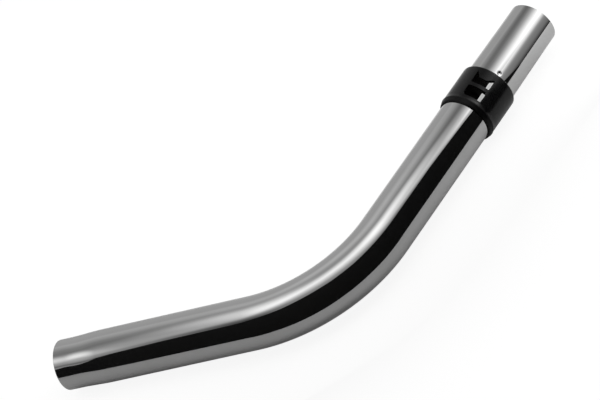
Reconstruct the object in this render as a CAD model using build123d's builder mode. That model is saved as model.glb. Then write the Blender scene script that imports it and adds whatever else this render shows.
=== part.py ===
from build123d import *
from math import asin, cos, isclose, radians, sin
import os

# Vacuum wand handle: a bent steel tube that carries a turning suction regulator ring.
# Sizes are in millimetres and angles in degrees. The origin is the centre of the wand mouth.
# +X runs along the lower leg, +Y is the side that the handle bends to, and +Z is up from the
# floor that the handle lies on.

# Tube
tube_diameter = 32.0
tube_wall = 1.0
lower_leg = 127.0        # wand mouth to the start of the bend
bend_radius = 86.0       # of the centre line
bend_angle = 65.0
mouth_chamfer = 0.3      # deburred edges of both mouths

# Wand end, a male taper that the extension wand slides over
wand_swage = 1.3         # taken off the diameter at the mouth
wand_land = 8.0          # straight stretch at the mouth
wand_taper = 21.0        # from the land to the full diameter

# Hose end, a male taper that the hose cuff slides over
hose_spigot = 54.6       # stands clear above the ring
hose_root_swage = 0.9    # taken off the diameter above the ring
hose_tip_swage = 1.8     # taken off the diameter at the mouth
hose_land = 12.0         # straight stretch at the mouth
shoulder_length = 2.4    # step from the full diameter to the root
shoulder_cover = 0.4     # how far inside the ring the step ends

# Suction hole in the tube wall, under the ring
hole_length = 20.0       # along the tube
hole_width = 10.2
hole_corner = 2.0
hole_turn = 24.5         # of its middle, from straight up toward the outside of the bend
hole_above_rim = 4.1     # from the ring's lower edge

# Pressed dimple above the ring
dimple_diameter = 3.4
dimple_depth = 0.45
dimple_turn = 50.0
dimple_above_ring = 2.6

# Regulator ring
ring_from_bend = 93.9    # end of the bend to the ring's lower edge
ring_length = 28.5
ring_wall = 1.45
ring_clearance = 0.15    # between the tube and the ring's bore, on the radius
ring_chamfer = 0.7       # upper outer edge
rim_proud = 0.3          # beyond the ring's outside, on the radius
rim_height = 2.9         # at the ring's lower edge
rim_slope = 0.7          # from the rim to the ring's outside
rim_chamfer = 1.0        # lower outer edge
bore_chamfer = 0.3       # both ends of the bore

# Window in the ring
window_turn = 31.0       # of its middle, when the handle lies as seen
window_width = 12.3
window_above_rim = 6.0   # from the ring's lower edge
window_corner = 0.6
window_rounding = 0.2    # outer edges of the openings
lower_opening = 7.8      # along the tube
bar_width = 2.4
upper_opening = 4.6      # along the tube
notch_width = 3.2
notch_height = 4.8

# Radii and stations that follow from those sizes
tube_radius = tube_diameter / 2
wand_tip_radius = tube_radius - wand_swage / 2
hose_root_radius = tube_radius - hose_root_swage / 2
hose_tip_radius = tube_radius - hose_tip_swage / 2
bore_radius = tube_radius + ring_clearance
ring_radius = bore_radius + ring_wall
rim_radius = ring_radius + rim_proud
wand_end_length = wand_land + wand_taper
upper_leg = ring_from_bend + ring_length + hose_spigot
shoulder_station = ring_from_bend + ring_length - shoulder_cover - shoulder_length
hose_end_length = upper_leg - shoulder_station

# The handle rests on its lower leg and on the ring's rim, which is a little thicker, so the
# plane of its centre line leans back by the angle between the two.
rim_offset = bend_radius * (1 - cos(radians(bend_angle))) + ring_from_bend * sin(radians(bend_angle))
rest_lean = asin((rim_radius - tube_radius) / rim_offset)
handle_plane = Plane(origin=(0, 0, 0), x_dir=(1, 0, 0), z_dir=(0, -sin(rest_lean), cos(rest_lean)))

# Centre line of the tube, from the end of the wand taper to the start of the hose shoulder
with BuildLine(handle_plane) as centre_line:
    lower_run = Line((wand_end_length, 0), (lower_leg, 0))
    bend_run = JernArc(lower_run @ 1, lower_run % 1, bend_radius, bend_angle)
    upper_run = Line(bend_run @ 1, bend_run @ 1 + (bend_run % 1) * shoulder_station)

lower_axis = Axis((0, 0, 0), lower_run % 0)
upper_axis = Axis(bend_run @ 1, upper_run % 1)


def upper_leg_plane(station, turn):
    """Plane on the upper leg's axis, with x toward the hose mouth and z turned from straight up."""
    origin = upper_axis.position + upper_axis.direction * station
    facing = handle_plane.z_dir.rotate(Axis((0, 0, 0), upper_axis.direction), turn)
    return Plane(origin=origin, x_dir=upper_axis.direction, z_dir=facing)


def wall_outline(stations):
    """Closed outline of the tube wall through (distance, outer radius) stations."""
    inside = [(distance, radius - tube_wall) for distance, radius in reversed(stations)]
    return stations + inside


# Bent tube: a constant section swept along the centre line, with a swaged taper at each end
with BuildPart() as bent_tube:
    with BuildSketch(Plane(origin=lower_run @ 0, z_dir=lower_run % 0)):
        Circle(tube_radius)
        Circle(tube_radius - tube_wall, mode=Mode.SUBTRACT)
    sweep(path=centre_line.line)

    with BuildSketch(handle_plane):
        with BuildLine():
            Polyline(
                *wall_outline([
                    (0, wand_tip_radius),
                    (wand_land, wand_tip_radius),
                    (wand_end_length, tube_radius),
                ]),
                close=True,
            )
        make_face()
    revolve(axis=lower_axis)

    with BuildSketch(upper_leg_plane(shoulder_station, 0)):
        with BuildLine():
            Polyline(
                *wall_outline([
                    (0, tube_radius),
                    (shoulder_length, hose_root_radius),
                    (hose_end_length - hose_land, hose_tip_radius),
                    (hose_end_length, hose_tip_radius),
                ]),
                close=True,
            )
        make_face()
    revolve(axis=upper_axis)

    chamfer(bent_tube.edges().filter_by(GeomType.CIRCLE).group_by(lower_axis)[0], mouth_chamfer)
    chamfer(bent_tube.edges().filter_by(GeomType.CIRCLE).group_by(upper_axis)[-1], mouth_chamfer)

    # Suction hole, punched through one side
    with BuildSketch(upper_leg_plane(ring_from_bend + hole_above_rim + hole_length / 2, hole_turn)):
        RectangleRounded(hole_length, hole_width, hole_corner)
    extrude(amount=tube_diameter, mode=Mode.SUBTRACT)

    # Dimple, a shallow spherical dent
    dimple_sphere = (dimple_diameter ** 2 / 4 + dimple_depth ** 2) / (2 * dimple_depth)
    dimple_plane = upper_leg_plane(ring_from_bend + ring_length + dimple_above_ring, dimple_turn)
    with Locations(dimple_plane.offset(hose_root_radius - dimple_depth + dimple_sphere)):
        Sphere(dimple_sphere, mode=Mode.SUBTRACT)

# Regulator ring: a turned sleeve with a rim, and a window moulded through one side
with BuildPart() as regulator_ring:
    with BuildSketch(upper_leg_plane(ring_from_bend, 0)) as sleeve:
        with BuildLine():
            Polyline(
                (0, bore_radius),
                (0, rim_radius),
                (rim_height, rim_radius),
                (rim_height + rim_slope, ring_radius),
                (ring_length, ring_radius),
                (ring_length, bore_radius),
                close=True,
            )
        make_face()
        lower_corners = sleeve.vertices().group_by(Axis.X)[0].sort_by(Axis.Y)
        upper_corners = sleeve.vertices().group_by(Axis.X)[-1].sort_by(Axis.Y)
        chamfer(lower_corners[-1], rim_chamfer)
        chamfer(upper_corners[-1], ring_chamfer)
        chamfer([lower_corners[0], upper_corners[0]], bore_chamfer)
    revolve(axis=upper_axis)

    with BuildSketch(upper_leg_plane(ring_from_bend, window_turn)):
        bar_start = window_above_rim + lower_opening
        upper_start = bar_start + bar_width
        upper_end = upper_start + upper_opening
        with Locations((window_above_rim + lower_opening / 2, 0)):
            RectangleRounded(lower_opening, window_width, window_corner)
        with Locations((upper_start + upper_opening / 2, 0)):
            RectangleRounded(upper_opening, window_width, window_corner)
        with BuildLine():
            Polyline(
                (upper_start + upper_opening / 2, window_width / 2),
                (upper_end + notch_height, window_width / 2),
                (upper_end, window_width / 2 - notch_width),
                (upper_start + upper_opening / 2, window_width / 2 - notch_width),
                close=True,
            )
        make_face()
    extrude(amount=2 * rim_radius, mode=Mode.SUBTRACT)

    rounds = regulator_ring.faces().filter_by(GeomType.CYLINDER)
    outside = rounds.filter_by(lambda face: isclose(face.radius, ring_radius))
    fillet(outside[0].inner_wires().edges(), window_rounding)

bent_tube.part.label = "bent_tube"
regulator_ring.part.label = "regulator_ring"

os.makedirs("parts", exist_ok=True)
export_step(bent_tube.part, "parts/bent_tube.step")
export_step(regulator_ring.part, "parts/regulator_ring.step")
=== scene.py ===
# %% [markdown]
# # A bent vacuum wand handle
# The handle is one length of chromed steel tube with a single bend. A black plastic ring turns on
# its upper leg, over a hole in the tube, and lets air in when the suction is too strong. The CAD
# pack already settles every size and place, so the lesson starts by loading it as a fixed frame.
# Everything that follows is drawn in the same metres and in the same place.

# %% Load the imported frame
from math import asin, atan2, cos, hypot, pi, radians, sin

import bmesh
import bpy
from mathutils import Matrix, Vector


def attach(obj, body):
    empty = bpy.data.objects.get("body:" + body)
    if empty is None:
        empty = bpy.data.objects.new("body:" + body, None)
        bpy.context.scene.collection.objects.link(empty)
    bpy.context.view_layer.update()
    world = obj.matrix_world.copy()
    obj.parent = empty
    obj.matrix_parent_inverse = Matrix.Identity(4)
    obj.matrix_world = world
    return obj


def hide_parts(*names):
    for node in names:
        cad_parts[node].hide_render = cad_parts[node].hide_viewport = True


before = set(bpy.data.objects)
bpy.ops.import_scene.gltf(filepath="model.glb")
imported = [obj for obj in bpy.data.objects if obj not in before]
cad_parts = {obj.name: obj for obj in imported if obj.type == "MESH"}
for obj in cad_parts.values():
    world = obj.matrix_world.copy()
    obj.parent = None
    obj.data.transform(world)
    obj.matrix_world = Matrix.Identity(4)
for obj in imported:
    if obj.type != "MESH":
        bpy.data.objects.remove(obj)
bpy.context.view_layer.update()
mm = 0.001

# %% [markdown]
# ## Camera
# A product picture of a long thin part is taken from far away with a long lens, so that both ends
# look equally thick. The camera could be turned by hand until the picture fits. Here it gets an
# aim point, a distance and three angles instead, since those can be read and changed one by one.
# The roll is what makes the lower leg climb only a little while the upper leg climbs steeply.

# %% Place the camera
camera_aim = Vector((140.2, 98.5, 1.4)) * mm
camera_distance = 2102 * mm
camera_azimuth = radians(30.61)
camera_elevation = radians(35.14)
camera_roll = radians(-32.19)

lens = bpy.data.cameras.new("product_camera")
lens.sensor_width = 36
lens.lens = 210
camera = bpy.data.objects.new("product_camera", lens)
camera.matrix_world = (
    Matrix.Translation(camera_aim)
    @ Matrix.Rotation(camera_azimuth, 4, "Z")
    @ Matrix.Rotation(pi / 2 - camera_elevation, 4, "X")
    @ Matrix.Rotation(camera_roll, 4, "Z")
    @ Matrix.Translation((0, 0, camera_distance))
)
bpy.context.collection.objects.link(camera)
bpy.context.scene.camera = camera
print("Camera at", [round(x, 3) for x in camera.matrix_world.translation])

# %% [markdown]
# ## The two legs
# The tube runs straight from the wand mouth, bends once and runs straight again to the hose mouth.
# Its plane leans back by less than a degree, because the ring that it rests on is thicker than the
# tube. Each leg gets a frame of its own: z along the leg, x to its upper side and y to the outside
# of the bend. Every later step then works in plain distances along a leg and angles around it.

# %% Lay out the legs
lower_leg = 127 * mm
bend_radius = 86 * mm
bend_angle = radians(65)
tube_radius = 16 * mm
rim_radius = 17.9 * mm
ring_start = 93.9 * mm
rim_offset = bend_radius * (1 - cos(bend_angle)) + ring_start * sin(bend_angle)
rest_lean = asin((rim_radius - tube_radius) / rim_offset)
upper_side = Vector((0, -sin(rest_lean), cos(rest_lean)))
bend_side = Vector((0, cos(rest_lean), sin(rest_lean)))
bend_centre = Vector((lower_leg, 0, 0)) + bend_side * bend_radius


def leg_frame(start, along):
    """Frame of a leg: x to its upper side, y to the outside of the bend, z along it."""
    axes = Matrix((upper_side, along.cross(upper_side), along)).transposed()
    return Matrix.Translation(start) @ axes.to_4x4()


wand_leg = leg_frame(Vector((0, 0, 0)), Vector((1, 0, 0)))
bend_start = Matrix.Translation((lower_leg, 0, 0)) @ wand_leg
bend_turn = Matrix.Rotation(bend_angle, 4, upper_side)
hose_leg = (
    Matrix.Translation(bend_centre) @ bend_turn @ Matrix.Translation(-bend_centre) @ bend_start
)
print("The bend ends at", [round(x, 4) for x in hose_leg.translation])

# %% [markdown]
# ## Chromed tube
# On the real handle a tube is cut, bent and swaged: both ends are pressed a little thinner, so that
# the wand and the hose cuff slide over them. Chrome shows every facet and every kink, so the
# triangles of the CAD model won't do. A curve with a round bevel would be quick, but it can't
# change its radius or carry a hole. The tube is therefore grown like the real one: one circle is
# extruded through stations of distance and radius, spun through the bend and extruded on to the
# hose mouth. Where the radius changes it eases in and out, as swaged steel does.

# %% Grow the lower leg from one circle
wand_tip_radius = 15.35 * mm
land_rows = [4 * mm, 7 * mm]
wand_land = 8 * mm
taper_end = 29 * mm
tube_segments = 180


def eased(first, last, steps):
    """Stations that ease from one (distance, radius) to another."""
    stations = []
    for step in range(steps + 1):
        share = step / steps
        ease = share * share * (3 - 2 * share)
        distance = first[0] + (last[0] - first[0]) * share
        stations.append((distance, first[1] + (last[1] - first[1]) * ease))
    return stations


def straight(first, last, steps):
    """Stations in even steps from one (distance, radius) to another, without the first."""
    return [
        tuple(a + (b - a) * step / steps for a, b in zip(first, last))
        for step in range(1, steps + 1)
    ]


def pull(bm, rim, leg, stations):
    """Extrudes an open rim of a tube through (distance, radius) stations of a leg."""
    for distance, radius in stations:
        grown = bmesh.ops.extrude_edge_only(bm, edges=rim)["geom"]
        points = [g for g in grown if isinstance(g, bmesh.types.BMVert)]
        rim = [g for g in grown if isinstance(g, bmesh.types.BMEdge) and g.is_boundary]
        now = leg.inverted() @ points[0].co
        bmesh.ops.translate(bm, verts=points, vec=leg.to_3x3() @ Vector((0, 0, distance - now.z)))
        factor = radius / hypot(now.x, now.y)
        bmesh.ops.scale(bm, verts=points, vec=(factor, factor, 1), space=leg.inverted())
    return rim


tube = bmesh.new()
bmesh.ops.create_circle(tube, segments=tube_segments, radius=wand_tip_radius, matrix=wand_leg)
rim = tube.edges[:]
rim = pull(tube, rim, wand_leg, [(row, wand_tip_radius) for row in land_rows])
rim = pull(tube, rim, wand_leg, eased((wand_land, wand_tip_radius), (taper_end, tube_radius), 16))
rim = pull(tube, rim, wand_leg, straight((taper_end, tube_radius), (lower_leg, tube_radius), 5))
print("Lower leg:", len(tube.verts), "points,", len(tube.faces), "faces")

# %% [markdown]
# A real tube is bent around a form. Spin does much the same: it carries the open rim around the
# centre of the bend in small steps, and leaves faces behind. Many steps are used, because the white
# lines in the chrome run along the bend and would show each of them.

# %% Bend the tube
bend_steps = 52
spun = bmesh.ops.spin(
    tube, geom=rim, cent=bend_centre, axis=upper_side,
    angle=bend_angle, steps=bend_steps, use_duplicate=False,
)
rim = [g for g in spun["geom_last"] if isinstance(g, bmesh.types.BMEdge)]
reached = sum((e.verts[0].co for e in rim), Vector()) / len(rim)
print("The spin ends", round((reached - hose_leg.translation).length * 1000, 4), "mm from the plan")

# %% [markdown]
# The upper leg passes under the ring, where the suction hole is, and steps down to the hose end
# just inside the ring's upper edge. Close rows are needed only where something happens: along the
# hole, over the step and round the small dimple that is pressed in above the ring.

# %% Run the upper leg to the hose mouth
hose_root_radius = 15.55 * mm
hose_tip_radius = 15.1 * mm
hole_start = ring_start + 4.1 * mm
hole_end = hole_start + 20 * mm
step_start = 119.6 * mm
step_end = 122 * mm
dimple_rows_end = 128 * mm
hose_land_start = 165 * mm
hose_mouth = 177 * mm
hose_slope = (hose_tip_radius - hose_root_radius) / (hose_land_start - step_end)
dimple_rows_radius = hose_root_radius + hose_slope * (dimple_rows_end - step_end)

rim = pull(tube, rim, hose_leg, straight((0, tube_radius), (hole_start, tube_radius), 5))
rim = pull(tube, rim, hose_leg, straight((hole_start, tube_radius), (hole_end, tube_radius), 20))
rim = pull(tube, rim, hose_leg, eased((step_start, tube_radius), (step_end, hose_root_radius), 8))
rim = pull(
    tube, rim, hose_leg,
    straight((step_end, hose_root_radius), (dimple_rows_end, dimple_rows_radius), 18),
)
rim = pull(
    tube, rim, hose_leg,
    straight((dimple_rows_end, dimple_rows_radius), (hose_land_start, hose_tip_radius), 6),
)
rim = pull(
    tube, rim, hose_leg,
    straight((hose_land_start, hose_tip_radius), (hose_mouth, hose_tip_radius), 3),
)
print("Tube skin:", len(tube.verts), "points,", len(tube.faces), "faces")

# %% [markdown]
# The suction hole is punched through one side of the tube. A boolean could cut it, but that would
# leave long slivers, which chrome shows. The rows and columns of the skin were chosen so that the
# sides of the hole fall on them. Only its round corners run across the faces, so each corner is
# first cut by a few planes that touch its arc.

# %% Cut the corners of the suction hole
hole_from, hole_to = radians(6), radians(44)
hole_corner = 2 * mm
hole_corner_steps = 4
cut_tolerance = 0.001 * mm


def around(leg, point):
    """Distance along a leg, angle around it from its upper side, and radius of a point."""
    local = leg.inverted() @ point
    return local.z, atan2(local.y, local.x), hypot(local.x, local.y)


def with_edges(faces):
    """The given faces with their edges and points, each once."""
    return list(dict.fromkeys(part for face in faces for part in (face, *face.edges, *face.verts)))


def round_corner(bm, leg, inside, row, turn, up, out, radius, steps):
    """Cuts the faces in one corner of an opening along an arc: returns the cutting planes."""
    corner = leg @ Matrix.Rotation(turn, 4, "Z")
    planes = []
    for step in range(1, steps):
        angle = pi / 2 * step / steps
        inward = Vector((0, out * cos(angle), up * sin(angle)))
        touch = Vector((0, out * radius, row + up * radius)) - inward * radius
        planes.append((corner @ touch, corner.to_3x3() @ inward))
    for touch, inward in planes:
        near = [
            face for face in bm.faces
            if inside(face) and min(abs(around(leg, v.co)[0] - row) for v in face.verts) < radius
        ]
        bmesh.ops.bisect_plane(
            bm, geom=with_edges(near), dist=cut_tolerance, plane_co=touch, plane_no=inward
        )
    return planes


def in_hole(face):
    """True for a face between the four sides of the suction hole."""
    distance, turn, _ = around(hose_leg, face.calc_center_median())
    return hole_start < distance < hole_end and hole_from < turn < hole_to


planes = []
for row, up in ((hole_start, 1), (hole_end, -1)):
    for turn, out in ((hole_from, 1), (hole_to, -1)):
        planes += round_corner(
            tube, hose_leg, in_hole, row, turn, up, out, hole_corner, hole_corner_steps
        )
print("Hole corners:", len(planes), "cuts")

# %% [markdown]
# Then the faces inside the outline are simply taken out. The edge that is left is marked sharp, so
# that the smooth shading of the tube stops at it.

# %% Punch the suction hole
def within(face, planes):
    """True for a face that no cutting plane leaves in its corner."""
    return all((face.calc_center_median() - touch).dot(inward) > 0 for touch, inward in planes)


holed = [face for face in tube.faces if in_hole(face) and within(face, planes)]
for edge in tube.edges:
    edge.smooth = True
for face in holed:
    for edge in face.edges:
        edge.smooth = False
bmesh.ops.delete(tube, geom=holed, context="FACES")
print("Hole:", len(holed), "faces taken out")

# %% [markdown]
# Above the ring a small round dimple is pressed into the tube. It keeps the ring from riding up.
# A bump in the material would not bend the outline of the reflections, so it is real shape: the
# skin gets extra columns there, and its points are pushed inward along a smooth bowl.

# %% Press the dimple
dimple_place = 125 * mm
dimple_turn = radians(50)
dimple_reach = 1.95 * mm
dimple_depth = 0.45 * mm
divided_reach = 1.4 * dimple_reach
smoothed_reach = 1.5 * dimple_reach
row_tolerance = 0.01 * mm


def from_dimple(point):
    """Distance of a point from the middle of the dimple, along the skin."""
    distance, turn, radius = around(hose_leg, point)
    return hypot(distance - dimple_place, (turn - dimple_turn) * radius)


def runs_around(edge):
    """True for an edge that stays on one row of the tube."""
    first, second = (around(hose_leg, vert.co)[0] for vert in edge.verts)
    return abs(first - second) < row_tolerance


bowl_edges = [
    edge for edge in tube.edges
    if max(from_dimple(v.co) for v in edge.verts) < divided_reach and runs_around(edge)
]
bmesh.ops.subdivide_edges(tube, edges=bowl_edges, cuts=1)
pressed = 0
for vert in tube.verts:
    away = from_dimple(vert.co)
    if away > smoothed_reach:
        continue
    distance, _, radius = around(hose_leg, vert.co)
    wanted = hose_root_radius + hose_slope * (distance - step_end)
    if away < dimple_reach:
        wanted -= dimple_depth * (1 + cos(pi * away / dimple_reach)) / 2
        pressed += 1
    if distance > step_end:
        factor = wanted / radius
        bmesh.ops.scale(tube, verts=[vert], vec=(factor, factor, 1), space=hose_leg.inverted())
print("Dimple:", len(bowl_edges), "edges divided,", pressed, "points pressed in")

# %% [markdown]
# The skin now becomes a wall. Doubles are merged and the normals are turned outward first, because
# the wall grows against them. A Solidify modifier gives the 1 mm of steel on the inside, and its
# inner faces take a second material: chrome plating hardly reaches into a tube, so the inside stays
# dull. A small Bevel modifier deburrs the two mouths, whose edges carry the weight for it.

# %% Give the tube its wall
tube_wall = 1 * mm
merge_distance = 0.005 * mm


def make_piece(name, bm):
    """Turns a finished bmesh into a smooth-shaded object that sits at the origin."""
    mesh = bpy.data.meshes.new(name)
    bm.to_mesh(mesh)
    bm.free()
    mesh.shade_smooth()
    piece = bpy.data.objects.new(name, mesh)
    bpy.context.collection.objects.link(piece)
    return piece


bmesh.ops.remove_doubles(tube, verts=tube.verts[:], dist=merge_distance)
bmesh.ops.recalc_face_normals(tube, faces=tube.faces[:])
probe = min(tube.faces, key=lambda face: face.calc_center_median().x)
axis_point = Vector((probe.calc_center_median().x, 0, 0))
if probe.normal.dot(probe.calc_center_median() - axis_point) < 0:
    bmesh.ops.reverse_faces(tube, faces=tube.faces[:])

weight = tube.edges.layers.float.new("bevel_weight_edge")
for edge in tube.edges:
    edge[weight] = 1.0 if edge.is_boundary and edge.smooth else 0.0
chromed_tube = make_piece("chromed_tube", tube)
wall = chromed_tube.modifiers.new("steel_wall", "SOLIDIFY")
wall.thickness = tube_wall
wall.offset = -1
wall.use_even_offset = True
wall.material_offset = 1
deburr = chromed_tube.modifiers.new("deburred_edges", "BEVEL")
deburr.width = 0.25 * mm
deburr.segments = 3
deburr.limit_method = "WEIGHT"
deburr.harden_normals = True
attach(chromed_tube, "tube")
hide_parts("bent_tube")
print("Chromed tube:", len(chromed_tube.data.polygons), "faces before its wall")

# %% [markdown]
# ## Regulator ring
# The ring is a moulded plastic sleeve with a slightly thicker rim below and a rounded edge above.
# It could be a cylinder with a wall and bevels, but its edges differ from each other. So one closed
# section is drawn, outside and bore, from a few points and from round edges. The points of both
# walls lie on the same rows along the window, because the window is cut there later.

# %% Draw the ring's section
ring_length = 28.5 * mm
bore_radius = 16.15 * mm
ring_radius = 17.6 * mm
rim_height = 2.9 * mm
rim_slope = 0.7 * mm
window_rows = [6.0 * mm, 13.8 * mm, 16.2 * mm, 20.8 * mm, 25.6 * mm]
rim_foot = (0.9 * mm, 17.3 * mm)
rim_top = [(2.5 * mm, 17.8 * mm), (2.8 * mm, 17.86 * mm), (3.1 * mm, 17.82 * mm)]
lower_round = (0.9 * mm, 0.6 * mm)
upper_round = (0.8 * mm, 0.7 * mm)
bore_break = 0.3 * mm


def edge_round(row, radius, size, first, last, steps):
    """Points of a quarter ellipse in a section, between two angles in degrees."""
    angles = [radians(first + (last - first) * step / steps) for step in range(steps + 1)]
    return [(row + size[0] * cos(a), radius + size[1] * sin(a)) for a in angles]


outside = (
    edge_round(rim_foot[0], rim_foot[1] - lower_round[1], lower_round, 180, 90, 6)
    + rim_top
    + [(rim_height + rim_slope, ring_radius)]
    + [(row, ring_radius) for row in window_rows]
    + edge_round(ring_length - upper_round[0], ring_radius - upper_round[1], upper_round, 90, 0, 8)
)
bore_round = (bore_break, bore_break)
inside = (
    edge_round(ring_length - bore_break, bore_radius + bore_break, bore_round, 0, -90, 4)
    + [(row, bore_radius) for row in reversed(window_rows)]
    + edge_round(bore_break, bore_radius + bore_break, bore_round, -90, -180, 4)
)
print("Ring section:", len(outside), "points outside and", len(inside), "in the bore")

# %% [markdown]
# The section is spun once around the leg, as a lathe would turn it. The number of steps is chosen
# so that the sides of the window fall on the columns: it is ten of them to each side of its middle.

# %% Spin the sleeve
window_turn = radians(31)
ring_steps = 176
window_reach = 10 * 2 * pi / ring_steps
ring_leg = hose_leg @ Matrix.Translation((0, 0, ring_start))
section_turn = Matrix.Rotation(window_turn + window_reach, 4, "Z")
sleeve = bmesh.new()
section = [
    sleeve.verts.new(ring_leg @ section_turn @ Vector((radius, 0, row)))
    for row, radius in outside + inside
]
for number, vert in enumerate(section):
    sleeve.edges.new((section[number - 1], vert))
bmesh.ops.spin(
    sleeve, geom=sleeve.verts[:] + sleeve.edges[:], cent=ring_leg.translation,
    axis=ring_leg.col[2].to_3d(), angle=2 * pi, steps=ring_steps,
    use_merge=True, use_duplicate=False,
)
bmesh.ops.remove_doubles(sleeve, verts=sleeve.verts[:], dist=merge_distance)
bmesh.ops.recalc_face_normals(sleeve, faces=sleeve.faces[:])
print("Sleeve:", len(sleeve.verts), "points,", len(sleeve.faces), "faces")

# %% [markdown]
# The window is two openings with a thin bar between them. The upper opening runs up into a pointed
# notch at each end, so that a short tongue is left between them as a mark for setting the ring. The
# notches slant across the columns of the mesh, so both walls of the sleeve are first split there
# by a plane. Only the faces next to a notch are given to the cut.

# %% Split the walls along the notches
window_frame = ring_leg @ Matrix.Rotation(window_turn, 4, "Z")
window_side = sin(window_reach) * ring_radius
wall_slope = 0.1
notch_sizes = [
    # end of the window, width and height
    (-1, 3.2 * mm, 4.8 * mm),
    (1, 4.2 * mm, 3.2 * mm),
]


def window_spot(face):
    """Row and angle of a face, as seen straight into the window."""
    local = window_frame.inverted() @ face.calc_center_median()
    return local.z, atan2(local.y, local.x)


def is_wall(face):
    """True for a face of the sleeve's outside or bore between the sides of the window."""
    along = (window_frame.to_3x3().inverted() @ face.normal).z
    return abs(window_spot(face)[1]) < window_reach and abs(along) < wall_slope


notches = []
for end, width, height in notch_sizes:
    tip = Vector((0, end * window_side, window_rows[3] + height))
    foot = Vector((0, end * (window_side - width), window_rows[3]))
    slant = (foot - tip).cross(Vector((-end, 0, 0)))
    near = [
        face for face in sleeve.faces
        if is_wall(face) and window_rows[3] < window_spot(face)[0] < window_rows[4]
    ]
    bmesh.ops.bisect_plane(
        sleeve, geom=with_edges(near), dist=cut_tolerance,
        plane_co=window_frame @ tip, plane_no=window_frame.to_3x3() @ slant,
    )
    notches.append((tip, slant))
print("Sleeve split along", len(notches), "notches:", len(sleeve.faces), "faces")

# %% [markdown]
# The openings are then cut like the suction hole: corners first, and the faces inside go. Here both
# walls have an edge round each opening, and bridging the two edges gives the window real sides.
# The inner lower corner of the lower opening is rounded much wider than the others.

# %% Open the window
window_from, window_to = window_turn - window_reach, window_turn + window_reach
window_corner = 0.6 * mm
wide_corner = 2.6 * mm
window_corner_steps = 3


def opening_of(face):
    """Number of the opening that a wall face is in: 1 lower, 2 upper with its notches, 0 none."""
    row = window_spot(face)[0]
    if not is_wall(face):
        return 0
    if window_rows[0] < row < window_rows[1]:
        return 1
    if window_rows[2] < row < window_rows[3]:
        return 2
    place = window_frame.inverted() @ face.calc_center_median()
    notched = any((place - tip).dot(slant) > 0 for tip, slant in notches)
    return 2 if notched and window_rows[3] < row < window_rows[4] else 0


corners = {
    # row, turn, way up, way around and radius of each round corner of an opening
    1: [
        (window_rows[0], window_from, 1, 1, wide_corner),
        (window_rows[0], window_to, 1, -1, window_corner),
        (window_rows[1], window_from, -1, 1, window_corner),
        (window_rows[1], window_to, -1, -1, window_corner),
    ],
    2: [
        (window_rows[2], window_from, 1, 1, window_corner),
        (window_rows[2], window_to, 1, -1, window_corner),
    ],
}
for opening, places in corners.items():
    planes = []
    for row, turn, up, out, radius in places:
        planes += round_corner(
            sleeve, ring_leg, lambda face: opening_of(face) == opening,
            row, turn, up, out, radius, window_corner_steps,
        )
    taken = [face for face in sleeve.faces if opening_of(face) == opening and within(face, planes)]
    bmesh.ops.delete(sleeve, geom=taken, context="FACES")
    edge_loops = [edge for edge in sleeve.edges if edge.is_boundary]
    bridged = bmesh.ops.bridge_loops(sleeve, edges=edge_loops)
    print("Opening", opening, ":", len(taken), "faces out,", len(bridged["faces"]), "side faces in")
bmesh.ops.recalc_face_normals(sleeve, faces=sleeve.faces[:])

# %% [markdown]
# The rim below gets its faces in a second material slot, for a darker and duller copy of the
# plastic, which paints the shade that darkens the rim. The edges of the window are marked sharp, so
# that the smooth shading of the sleeve stops at them.

# %% Finish the ring's shape
sharp_angle = radians(50)
rim_faces = 0
# The rim's faces take the darker copy of the plastic, which paints shade on the rim.
for face in sleeve.faces:
    if around(ring_leg, face.calc_center_median())[0] < rim_height + rim_slope:
        face.material_index = 1
        rim_faces += 1
for edge in sleeve.edges:
    edge.smooth = edge.calc_face_angle() < sharp_angle

regulator = make_piece("regulator_sleeve", sleeve)
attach(regulator, "regulator")
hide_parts("regulator_ring")
print("Regulator sleeve:", len(regulator.data.polygons), "faces,", rim_faces, "of them on the rim")

# %% [markdown]
# ## Materials
# Both finishes are handled every day, so both carry faint marks: patches where the surface is a
# little less shiny and a little off in colour, over a very fine grain. That effect is made once, as
# a node group with named inputs, and each material sets its own values. The group puts out a mask,
# a roughness and a height, never a shader, so that the export can read it.

# %% Build the shared handling marks
def add_node(tree, kind, **sockets):
    """Adds a node and sets its input sockets by name."""
    node = tree.nodes.new(kind)
    for name, value in sockets.items():
        node.inputs[name.replace("_", " ")].default_value = value
    return node


def node_group(name, vectors, values, results):
    """Node group with named sockets: returns it with its input and output nodes."""
    group = bpy.data.node_groups.new(name, "ShaderNodeTree")
    for socket in vectors:
        group.interface.new_socket(socket, in_out="INPUT", socket_type="NodeSocketVector")
    for socket in values:
        group.interface.new_socket(socket, in_out="INPUT", socket_type="NodeSocketFloat")
    for socket in results:
        group.interface.new_socket(socket, in_out="OUTPUT", socket_type="NodeSocketFloat")
    return group, group.nodes.new("NodeGroupInput"), group.nodes.new("NodeGroupOutput")


marks, given, handed = node_group(
    "handling_marks", ["Vector"],
    ["Patch Scale", "Grain Scale", "Clean Roughness", "Marked Roughness"],
    ["Mask", "Roughness", "Height"],
)
patches = add_node(marks, "ShaderNodeTexNoise", Detail=5.0, Roughness=0.6, Distortion=0.4)
spread = add_node(marks, "ShaderNodeMapRange", From_Min=0.35, From_Max=0.75)
dulled = marks.nodes.new("ShaderNodeMapRange")
grain = add_node(marks, "ShaderNodeTexNoise", Detail=2.0)
marks.links.new(given.outputs["Vector"], patches.inputs["Vector"])
marks.links.new(given.outputs["Patch Scale"], patches.inputs["Scale"])
marks.links.new(given.outputs["Vector"], grain.inputs["Vector"])
marks.links.new(given.outputs["Grain Scale"], grain.inputs["Scale"])
marks.links.new(patches.outputs["Fac"], spread.inputs["Value"])
marks.links.new(spread.outputs["Result"], handed.inputs["Mask"])
marks.links.new(spread.outputs["Result"], dulled.inputs["Value"])
marks.links.new(given.outputs["Clean Roughness"], dulled.inputs["To Min"])
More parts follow.
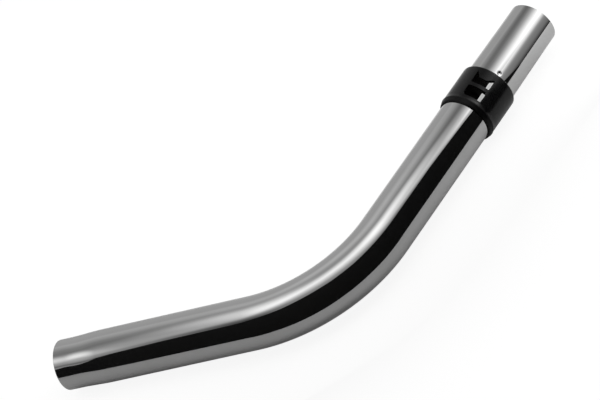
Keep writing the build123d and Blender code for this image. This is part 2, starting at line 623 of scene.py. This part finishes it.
marks.links.new(given.outputs["Marked Roughness"], dulled.inputs["To Max"])
marks.links.new(dulled.outputs["Result"], handed.inputs["Roughness"])
marks.links.new(grain.outputs["Fac"], handed.inputs["Height"])
print("Group handling_marks has", len(marks.nodes), "nodes")

# %% [markdown]
# Chrome plate is a thin bright metal, a neutral grey of about a half. Polishing leaves it almost a
# mirror, so its roughness stays very low, and the marks only soften it here and there. The bare
# inside of the tube is darker and much duller steel. Both are the same set of nodes with other
# values, so one helper builds it: marks on Object coordinates, a tint between a clean and a marked
# colour, and the grain as a faint bump.

# %% Finish the tube
grain_depth = 0.1 * mm


def marked_material(name, colours, roughness, metallic, specular, patch_scale, grain_scale, bump):
    """Material with handling marks: colours and roughness are each a clean and a marked value."""
    material = bpy.data.materials.new(name)
    material.use_nodes = True
    tree = material.node_tree
    shader = tree.nodes["Principled BSDF"]
    shader.inputs["Metallic"].default_value = metallic
    shader.inputs["Specular IOR Level"].default_value = specular
    where = tree.nodes.new("ShaderNodeTexCoord")
    wear = tree.nodes.new("ShaderNodeGroup")
    wear.node_tree = marks
    wear.inputs["Patch Scale"].default_value = patch_scale
    wear.inputs["Grain Scale"].default_value = grain_scale
    wear.inputs["Clean Roughness"].default_value = roughness[0]
    wear.inputs["Marked Roughness"].default_value = roughness[1]
    tint = tree.nodes.new("ShaderNodeMix")
    tint.data_type = "RGBA"
    sockets = {socket.identifier: socket for socket in (*tint.inputs, *tint.outputs)}
    sockets["A_Color"].default_value = (*colours[0], 1)
    sockets["B_Color"].default_value = (*colours[1], 1)
    relief = add_node(tree, "ShaderNodeBump", Strength=bump, Distance=grain_depth)
    tree.links.new(where.outputs["Object"], wear.inputs["Vector"])
    tree.links.new(wear.outputs["Mask"], sockets["Factor_Float"])
    tree.links.new(sockets["Result_Color"], shader.inputs["Base Color"])
    tree.links.new(wear.outputs["Roughness"], shader.inputs["Roughness"])
    tree.links.new(wear.outputs["Height"], relief.inputs["Height"])
    tree.links.new(relief.outputs["Normal"], shader.inputs["Normal"])
    return material


chrome = marked_material(
    "polished_chrome", colours=((0.56, 0.56, 0.56), (0.535, 0.534, 0.53)),
    roughness=(0.03, 0.075), metallic=1.0, specular=0.5,
    patch_scale=45.0, grain_scale=900.0, bump=0.004,
)
bare_steel = marked_material(
    "drawn_steel_inside", colours=((0.17, 0.167, 0.165), (0.14, 0.136, 0.132)),
    roughness=(0.32, 0.5), metallic=1.0, specular=0.5,
    patch_scale=120.0, grain_scale=2600.0, bump=0.1,
)
chromed_tube.data.materials.append(chrome)
chromed_tube.data.materials.append(bare_steel)
print("Tube materials:", [m.name for m in chromed_tube.data.materials])

# %% [markdown]
# The ring is black plastic with a soft gloss. It is nearly black where it mirrors the dark side of
# the studio and shines a little where it faces the light. The rim's copy of the plastic is painted
# shade: it is darker, rougher, and its specular level is lower, so it mirrors hardly anything.

# %% Finish the ring
black_plastic = marked_material(
    "moulded_black_plastic", colours=((0.006, 0.006, 0.0063), (0.009, 0.009, 0.0092)),
    roughness=(0.15, 0.24), metallic=0.0, specular=0.25,
    patch_scale=160.0, grain_scale=3200.0, bump=0.12,
)
# Painted shade: a darker, duller copy of the plastic for the rim.
rim_shade_plastic = marked_material(
    "rim_painted_shade_black", colours=((0.0035, 0.0035, 0.0037), (0.005, 0.005, 0.0052)),
    roughness=(0.35, 0.45), metallic=0.0, specular=0.12,
    patch_scale=160.0, grain_scale=3200.0, bump=0.2,
)
regulator.data.materials.append(black_plastic)
regulator.data.materials.append(rim_shade_plastic)
print("Ring materials:", [m.name for m in regulator.data.materials])

# %% [markdown]
# ## Floor and background
# The picture has a plain white ground. More light would burn the object out, so the floor is paper
# that only the camera sees as white. The shadow of the handle still falls on it. Chrome mirrors the
# same paper as a pale grey with a painted glow, which gets lighter towards the hose end.

# %% Lay the floor
floor_level = -16
floor_reach = 4000


def card(name, foot, top):
    """Stage card between two rows of points in millimetres, out of the camera's sight."""
    bm = bmesh.new()
    for row in (foot, top):
        points = [bm.verts.new(Vector(point) * mm) for point in row]
        for pair in zip(points, points[1:]):
            bm.edges.new(pair)
    bmesh.ops.bridge_loops(bm, edges=bm.edges[:])
    piece = make_piece(name, bm)
    piece.visible_camera = False
    return piece


floor = card(
    "studio_floor",
    [(-floor_reach, -floor_reach, floor_level), (floor_reach, -floor_reach, floor_level)],
    [(-floor_reach, floor_reach, floor_level), (floor_reach, floor_reach, floor_level)],
)
floor.visible_camera = True
print("Floor at", floor_level, "mm")

# %% [markdown]
# The paper's material adds two shaders: a diffuse one, which takes the shadow, and an emission. The
# Light Path node says who is looking. A camera ray gets nearly all of the white from the emission.
# A glossy or transmission ray, which is what a mirror or a glass sees, gets the paper's pale grey
# and a painted glow from the emission, graded brighter towards the hose end.

# %% Colour the floor
paper_level = 0.75
less_for_camera = 0.55
white_for_camera = 0.9


def math_node(tree, operation, first, second):
    """Math node of two inputs, each a number or an output of another node: returns its output."""
    node = tree.nodes.new("ShaderNodeMath")
    node.operation = operation
    for socket, value in zip(node.inputs, (first, second)):
        if isinstance(value, (int, float)):
            socket.default_value = value
        else:
            tree.links.new(value, socket)
    return node.outputs["Value"]


def mirrored(tree, seen):
    """One where a mirror or a glass looks, and zero elsewhere."""
    return math_node(
        tree, "MAXIMUM", seen.outputs["Is Glossy Ray"], seen.outputs["Is Transmission Ray"]
    )


ground = bpy.data.materials.new("pale_floor")
ground.use_nodes = True
tree = ground.node_tree
tree.nodes.remove(tree.nodes["Principled BSDF"])
seen = tree.nodes.new("ShaderNodeLightPath")
where = tree.nodes.new("ShaderNodeTexCoord")
turned = add_node(tree, "ShaderNodeMapping", Rotation=(0, 0, -camera_azimuth))
parts = tree.nodes.new("ShaderNodeSeparateXYZ")
# Painted light: the glow that mirrors see on the floor, graded brighter towards the hose end.
graded = add_node(
    tree, "ShaderNodeMapRange", From_Min=-0.1, From_Max=0.45, To_Min=0.0, To_Max=0.24
)
tree.links.new(where.outputs["Object"], turned.inputs["Vector"])
tree.links.new(turned.outputs["Vector"], parts.inputs["Vector"])
tree.links.new(parts.outputs["X"], graded.inputs["Value"])
less = math_node(tree, "MULTIPLY", seen.outputs["Is Camera Ray"], less_for_camera)
paper_grey = math_node(tree, "SUBTRACT", paper_level, less)
paper = tree.nodes.new("ShaderNodeBsdfDiffuse")
white = add_node(tree, "ShaderNodeEmission", Color=(1, 1, 1, 1))
lifted = tree.nodes.new("ShaderNodeAddShader")
to_camera = math_node(tree, "MULTIPLY", seen.outputs["Is Camera Ray"], white_for_camera)
to_mirror = math_node(tree, "MULTIPLY", mirrored(tree, seen), graded.outputs["Result"])
tree.links.new(paper_grey, paper.inputs["Color"])
tree.links.new(math_node(tree, "ADD", to_camera, to_mirror), white.inputs["Strength"])
tree.links.new(paper.outputs["BSDF"], lifted.inputs[0])
tree.links.new(white.outputs["Emission"], lifted.inputs[1])
tree.links.new(lifted.outputs["Shader"], tree.nodes["Material Output"].inputs["Surface"])
floor.data.materials.append(ground)
print("Floor material:", ground.name)

# %% [markdown]
# Beyond the floor the world is white to the camera too. It lights the object at a plain level, and
# mirrors see it a little brighter than that.

# %% Fill the background
studio_level = 0.45
more_for_camera = 0.55
more_for_mirrors = 0.07

studio = bpy.data.worlds.new("pale_studio")
bpy.context.scene.world = studio
studio.use_nodes = True
tree = studio.node_tree
seen = tree.nodes.new("ShaderNodeLightPath")
to_camera = math_node(tree, "MULTIPLY", seen.outputs["Is Camera Ray"], more_for_camera)
to_mirror = math_node(tree, "MULTIPLY", mirrored(tree, seen), more_for_mirrors)
level = math_node(tree, "ADD", studio_level, math_node(tree, "ADD", to_camera, to_mirror))
tree.nodes["Background"].inputs["Color"].default_value = (1, 1, 1, 1)
tree.links.new(level, tree.nodes["Background"].inputs["Strength"])
bpy.context.scene.view_settings.view_transform = "Standard"
print("World:", studio.name)

# %% [markdown]
# ## Light cloth
# Chrome has no colour of its own: it looks like chrome because of what stands around it. Here a
# cloth hangs over the handle with a few lamps behind it. Each lamp makes a soft oval glow, and the
# tube stretches the glows into its long white lines. The glow is a node group: it takes a place, a
# reach and a level, and gives the light at a point of the cloth.

# %% Make the glow of one lamp
lamp_glow, given, handed = node_group(
    "lamp_glow", ["Vector", "Place", "Reach"], ["Level"], ["Glow"]
)
steps = []
for operation in ("SUBTRACT", "DIVIDE", "LENGTH"):
    step = lamp_glow.nodes.new("ShaderNodeVectorMath")
    step.operation = operation
    steps.append(step)
fade = add_node(lamp_glow, "ShaderNodeMapRange", From_Min=1.0, From_Max=0.0)
fade.interpolation_type = "SMOOTHSTEP"
lamp_glow.links.new(given.outputs["Vector"], steps[0].inputs[0])
lamp_glow.links.new(given.outputs["Place"], steps[0].inputs[1])
lamp_glow.links.new(steps[0].outputs["Vector"], steps[1].inputs[0])
lamp_glow.links.new(given.outputs["Reach"], steps[1].inputs[1])
lamp_glow.links.new(steps[1].outputs["Vector"], steps[2].inputs[0])
lamp_glow.links.new(steps[2].outputs["Value"], fade.inputs["Value"])
lamp_glow.links.new(given.outputs["Level"], fade.inputs["To Max"])
lamp_glow.links.new(fade.outputs["Result"], handed.inputs["Glow"])
print("Group lamp_glow has", len(lamp_glow.nodes), "nodes")

# %% [markdown]
# The cloth is a plain rectangle that only gives light. It is measured along the picture's width and
# toward the camera, so that a place on it is easy to think of.

# %% Hang the light cloth
cloth_height = 300
across = Vector((cos(camera_azimuth), sin(camera_azimuth), 0))
toward = Vector((sin(camera_azimuth), -cos(camera_azimuth), 0))


def over(t, d):
    """Point of the cloth: t along the picture's width, d toward the camera, in millimetres."""
    return across * t + toward * d + Vector((0, 0, cloth_height))


def glowing(name):
    """Material that only gives light: returns it with its tree and its lamp."""
    material = bpy.data.materials.new(name)
    material.use_nodes = True
    tree = material.node_tree
    tree.nodes.remove(tree.nodes["Principled BSDF"])
    lamp = add_node(tree, "ShaderNodeEmission", Color=(1, 1, 1, 1))
    tree.links.new(lamp.outputs["Emission"], tree.nodes["Material Output"].inputs["Surface"])
    return material, tree, lamp


cloth = card(
    "light_cloth",
    [over(-560, 430), over(1000, 430)],
    [over(-560, -430), over(1000, -430)],
)
glow, tree, lamp = glowing("lit_cloth")
cloth.data.materials.append(glow)
print("Light cloth at", cloth_height, "mm")

# %% [markdown]
# The cloth is not even: its light changes from front to back. That grade is a smooth curve through a
# few levels, each given with its distance behind the middle in metres.

# %% Grade the cloth
def ramp(tree, source, stops, top):
    """Smooth curve of a value through (position, level) stops, with levels up to top."""
    low, high = stops[0][0], stops[-1][0]
    spread = add_node(tree, "ShaderNodeMapRange", From_Min=low, From_Max=high)
    curve = tree.nodes.new("ShaderNodeFloatCurve")
    line = curve.mapping.curves[0]
    places = [((position - low) / (high - low), value / top) for position, value in stops]
    line.points[0].location = places[0]
    line.points[1].location = places[-1]
    for place in places[1:-1]:
        line.points.new(*place)
    curve.mapping.update()
    tree.links.new(source, spread.inputs["Value"])
    tree.links.new(spread.outputs["Result"], curve.inputs["Value"])
    return math_node(tree, "MULTIPLY", curve.outputs["Value"], top)


cloth_grade = [
    (-0.43, 0.37), (-0.24, 0.37), (-0.14, 0.05), (-0.06, 0.53), (0.06, 0.45), (0.14, 0.62),
    (0.22, 0.72), (0.30, 0.64), (0.43, 0.55),
]
where = tree.nodes.new("ShaderNodeTexCoord")
turned = add_node(
    tree, "ShaderNodeMapping", Location=(0, 0, -cloth_height * mm), Rotation=(0, 0, -camera_azimuth)
)
parts = tree.nodes.new("ShaderNodeSeparateXYZ")
tree.links.new(where.outputs["Object"], turned.inputs["Vector"])
tree.links.new(turned.outputs["Vector"], parts.inputs["Vector"])
total = ramp(tree, parts.outputs["Y"], cloth_grade, 1.0)
print("Cloth graded through", len(cloth_grade), "levels")

# %% [markdown]
# The lamps are then added one by one. Each is a glow with a place and a reach of its own. A lamp
# with a negative level stands for a fold where the cloth lets less light through.

# %% Light the lamps
lamps = [
    # level, place across and toward the camera, reach across and toward the camera
    (0.77, 35, 0, 145, 160),
    (1.13, 215, 100, 400, 140),
    (1.4, -245, -50, 110, 165),
    (3.7, 960, -70, 600, 400),
    (-0.6, 495, -195, 285, 275),
    (-0.33, -95, -175, 300, 195),
    (0.42, -350, 125, 300, 85),
    (0.92, 325, 5, 135, 100),
    (0.5, 590, 80, 85, 55),
]
for level, t, d, reach_t, reach_d in lamps:
    spot = tree.nodes.new("ShaderNodeGroup")
    spot.node_tree = lamp_glow
    spot.inputs["Place"].default_value = (t * mm, -d * mm, 0)
    spot.inputs["Reach"].default_value = (reach_t * mm, reach_d * mm, 1)
    spot.inputs["Level"].default_value = level
    tree.links.new(turned.outputs["Vector"], spot.inputs["Vector"])
    total = math_node(tree, "ADD", total, spot.outputs["Glow"])
tree.links.new(math_node(tree, "MAXIMUM", total, 0.0), lamp.inputs["Strength"])
print("Light cloth with", len(lamps), "lamps")

# %% [markdown]
# ## Side card
# The hose end also mirrors what stands to its right. A graded card there, dark at the floor and
# light at its upper edge, makes the grey fade next to the white line. It is there for the mirror
# only: it throws no shadow, and no light on the floor.

# %% Stand the side card
side_top = 54
side = card(
    "side_card",
    [(328, 150, floor_level), (445, 395, floor_level)],
    [(328, 150, side_top), (445, 395, side_top)],
)
side.visible_shadow = False
side.visible_diffuse = False
side_grade = [
    (-0.016, 0.03), (-0.008, 0.1), (0.005, 0.26), (0.025, 0.38),
    (0.032, 0.5), (0.04, 0.9), (0.054, 1.6),
]
fading, tree, lamp = glowing("graded_card")
where = tree.nodes.new("ShaderNodeTexCoord")
parts = tree.nodes.new("ShaderNodeSeparateXYZ")
tree.links.new(where.outputs["Object"], parts.inputs["Vector"])
tree.links.new(ramp(tree, parts.outputs["Z"], side_grade, 2.0), lamp.inputs["Strength"])
side.data.materials.append(fading)
print("Side card with", len(side_grade), "levels")

# %% [markdown]
# ## Black card
# In a studio a black card is stood in front of polished metal, just out of sight, because a mirror
# without anything dark in it looks like grey paint. This card follows the bend and draws the deep
# black line along the tube. Past the ring it ends in a low tail, which draws a thin dark line there.

# %% Stand the black card
posts = [
    # x, y and height of the card
    (-160, -190, 50), (-70, -123, 88), (-30, -100, 116), (15, -83, 116), (65, -78, 116),
    (95, -77, 131), (140, -69, 129), (185, -45, 118), (215, -27, 110), (242, -3, 105),
    (265, 31, 102), (284, 67, 97), (303, 105, 97), (318, 135, 78), (326, 151, 63),
    (331, 158, 30), (334, 167, 18), (340, 180, 4),
]
fence = card(
    "black_card",
    [(x, y, floor_level) for x, y, _ in posts],
    [(x, y, floor_level + height) for x, y, height in posts],
)
felt = bpy.data.materials.new("black_felt")
felt.use_nodes = True
felt_shader = felt.node_tree.nodes["Principled BSDF"]
felt_shader.inputs["Base Color"].default_value = (0.02, 0.02, 0.02, 1)
felt_shader.inputs["Roughness"].default_value = 1.0
felt_shader.inputs["Specular IOR Level"].default_value = 0.0
fence.data.materials.append(felt)
print("Black card on", len(posts), "posts")
